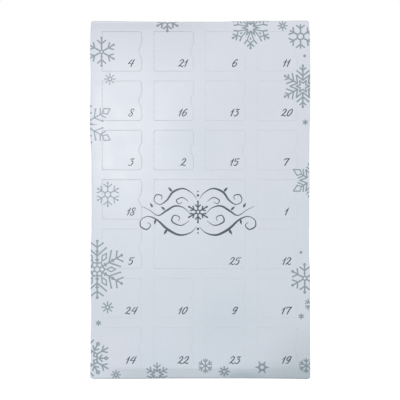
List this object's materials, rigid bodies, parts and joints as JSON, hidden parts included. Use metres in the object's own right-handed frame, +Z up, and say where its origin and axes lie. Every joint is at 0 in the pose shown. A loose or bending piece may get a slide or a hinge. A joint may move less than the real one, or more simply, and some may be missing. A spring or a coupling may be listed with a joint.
{
  "type": "advent calendar",
  "caption": "Flat upright calendar carton with small hinged doors and one large door cut in its front, each over a chocolate in a formed tray.",
  "frame": {"origin": "middle of the bottom end, which the calendar stands on", "axes": "+Z up along the height, +X to the right seen from the front, +Y to the back; the doors face -Y"},
  "size_m": [0.22, 0.015, 0.36],
  "materials": {
    "printed_board": "satin",
    "tray_sheet": "gloss",
    "chocolate": "satin"
  },
  "bodies": {
    "carton": {"carton": "printed_board", "tray": "tray_sheet", "chocolate_01": "chocolate", "chocolate_02": "chocolate", "chocolate_03": "chocolate", "chocolate_04": "chocolate", "chocolate_05": "chocolate", "chocolate_06": "chocolate", "chocolate_07": "chocolate", "chocolate_08": "chocolate", "chocolate_09": "chocolate", "chocolate_10": "chocolate", "chocolate_11": "chocolate", "chocolate_12": "chocolate", "chocolate_13": "chocolate", "chocolate_14": "chocolate", "chocolate_15": "chocolate", "chocolate_16": "chocolate", "chocolate_17": "chocolate", "chocolate_18": "chocolate", "chocolate_19": "chocolate", "chocolate_20": "chocolate", "chocolate_21": "chocolate", "chocolate_22": "chocolate", "chocolate_23": "chocolate", "chocolate_24": "chocolate", "chocolate_25": "chocolate"},
    "door_01": {"door_01": "printed_board"},
    "door_02": {"door_02": "printed_board"},
    "door_03": {"door_03": "printed_board"},
    "door_04": {"door_04": "printed_board"},
    "door_05": {"door_05": "printed_board"},
    "door_06": {"door_06": "printed_board"},
    "door_07": {"door_07": "printed_board"},
    "door_08": {"door_08": "printed_board"},
    "door_09": {"door_09": "printed_board"},
    "door_10": {"door_10": "printed_board"},
    "door_11": {"door_11": "printed_board"},
    "door_12": {"door_12": "printed_board"},
    "door_13": {"door_13": "printed_board"},
    "door_14": {"door_14": "printed_board"},
    "door_15": {"door_15": "printed_board"},
    "door_16": {"door_16": "printed_board"},
    "door_17": {"door_17": "printed_board"},
    "door_18": {"door_18": "printed_board"},
    "door_19": {"door_19": "printed_board"},
    "door_20": {"door_20": "printed_board"},
    "door_21": {"door_21": "printed_board"},
    "door_22": {"door_22": "printed_board"},
    "door_23": {"door_23": "printed_board"},
    "door_24": {"door_24": "printed_board"},
    "door_25": {"door_25": "printed_board"}
  },
  "joints": [
    {"name": "door_01_hinge", "type": "hinge", "parent": "carton", "child": "door_01", "pos_m": [0.05765, -0.0075, 0.1805], "axis": [0, 0, -1], "range_deg": [0, 170]},
    {"name": "door_02_hinge", "type": "hinge", "parent": "carton", "child": "door_02", "pos_m": [-0.04635, -0.0075, 0.23], "axis": [0, 0, -1], "range_deg": [0, 170]},
    {"name": "door_03_hinge", "type": "hinge", "parent": "carton", "child": "door_03", "pos_m": [-0.09835, -0.0075, 0.23], "axis": [0, 0, -1], "range_deg": [0, 170]},
    {"name": "door_04_hinge", "type": "hinge", "parent": "carton", "child": "door_04", "pos_m": [-0.09835, -0.0075, 0.329], "axis": [0, 0, -1], "range_deg": [0, 170]},
    {"name": "door_05_hinge", "type": "hinge", "parent": "carton", "child": "door_05", "pos_m": [-0.09835, -0.0075, 0.131], "axis": [0, 0, -1], "range_deg": [0, 170]},
    {"name": "door_06_hinge", "type": "hinge", "parent": "carton", "child": "door_06", "pos_m": [0.00565, -0.0075, 0.329], "axis": [0, 0, -1], "range_deg": [0, 170]},
    {"name": "door_07_hinge", "type": "hinge", "parent": "carton", "child": "door_07", "pos_m": [0.05765, -0.0075, 0.23], "axis": [0, 0, -1], "range_deg": [0, 170]},
    {"name": "door_08_hinge", "type": "hinge", "parent": "carton", "child": "door_08", "pos_m": [-0.09835, -0.0075, 0.2795], "axis": [0, 0, -1], "range_deg": [0, 170]},
    {"name": "door_09_hinge", "type": "hinge", "parent": "carton", "child": "door_09", "pos_m": [0.00565, -0.0075, 0.0815], "axis": [0, 0, -1], "range_deg": [0, 170]},
    {"name": "door_10_hinge", "type": "hinge", "parent": "carton", "child": "door_10", "pos_m": [-0.04635, -0.0075, 0.0815], "axis": [0, 0, -1], "range_deg": [0, 170]},
    {"name": "door_11_hinge", "type": "hinge", "parent": "carton", "child": "door_11", "pos_m": [0.05765, -0.0075, 0.329], "axis": [0, 0, -1], "range_deg": [0, 170]},
    {"name": "door_12_hinge", "type": "hinge", "parent": "carton", "child": "door_12", "pos_m": [0.05765, -0.0075, 0.131], "axis": [0, 0, -1], "range_deg": [0, 170]},
    {"name": "door_13_hinge", "type": "hinge", "parent": "carton", "child": "door_13", "pos_m": [0.00565, -0.0075, 0.2795], "axis": [0, 0, -1], "range_deg": [0, 170]},
    {"name": "door_14_hinge", "type": "hinge", "parent": "carton", "child": "door_14", "pos_m": [-0.09835, -0.0075, 0.032], "axis": [0, 0, -1], "range_deg": [0, 170]},
    {"name": "door_15_hinge", "type": "hinge", "parent": "carton", "child": "door_15", "pos_m": [0.00565, -0.0075, 0.23], "axis": [0, 0, -1], "range_deg": [0, 170]},
    {"name": "door_16_hinge", "type": "hinge", "parent": "carton", "child": "door_16", "pos_m": [-0.04635, -0.0075, 0.2795], "axis": [0, 0, -1], "range_deg": [0, 170]},
    {"name": "door_17_hinge", "type": "hinge", "parent": "carton", "child": "door_17", "pos_m": [0.05765, -0.0075, 0.0815], "axis": [0, 0, -1], "range_deg": [0, 170]},
    {"name": "door_18_hinge", "type": "hinge", "parent": "carton", "child": "door_18", "pos_m": [-0.09835, -0.0075, 0.1805], "axis": [0, 0, -1], "range_deg": [0, 170]},
    {"name": "door_19_hinge", "type": "hinge", "parent": "carton", "child": "door_19", "pos_m": [0.05765, -0.0075, 0.032], "axis": [0, 0, -1], "range_deg": [0, 170]},
    {"name": "door_20_hinge", "type": "hinge", "parent": "carton", "child": "door_20", "pos_m": [0.05765, -0.0075, 0.2795], "axis": [0, 0, -1], "range_deg": [0, 170]},
    {"name": "door_21_hinge", "type": "hinge", "parent": "carton", "child": "door_21", "pos_m": [-0.04635, -0.0075, 0.329], "axis": [0, 0, -1], "range_deg": [0, 170]},
    {"name": "door_22_hinge", "type": "hinge", "parent": "carton", "child": "door_22", "pos_m": [-0.04635, -0.0075, 0.032], "axis": [0, 0, -1], "range_deg": [0, 170]},
    {"name": "door_23_hinge", "type": "hinge", "parent": "carton", "child": "door_23", "pos_m": [0.00565, -0.0075, 0.032], "axis": [0, 0, -1], "range_deg": [0, 170]},
    {"name": "door_24_hinge", "type": "hinge", "parent": "carton", "child": "door_24", "pos_m": [-0.09835, -0.0075, 0.0815], "axis": [0, 0, -1], "range_deg": [0, 170]},
    {"name": "door_25_hinge", "type": "hinge", "parent": "carton", "child": "door_25", "pos_m": [-0.04635, -0.0075, 0.15575], "axis": [0, 0, -1], "range_deg": [0, 170]}
  ]
}
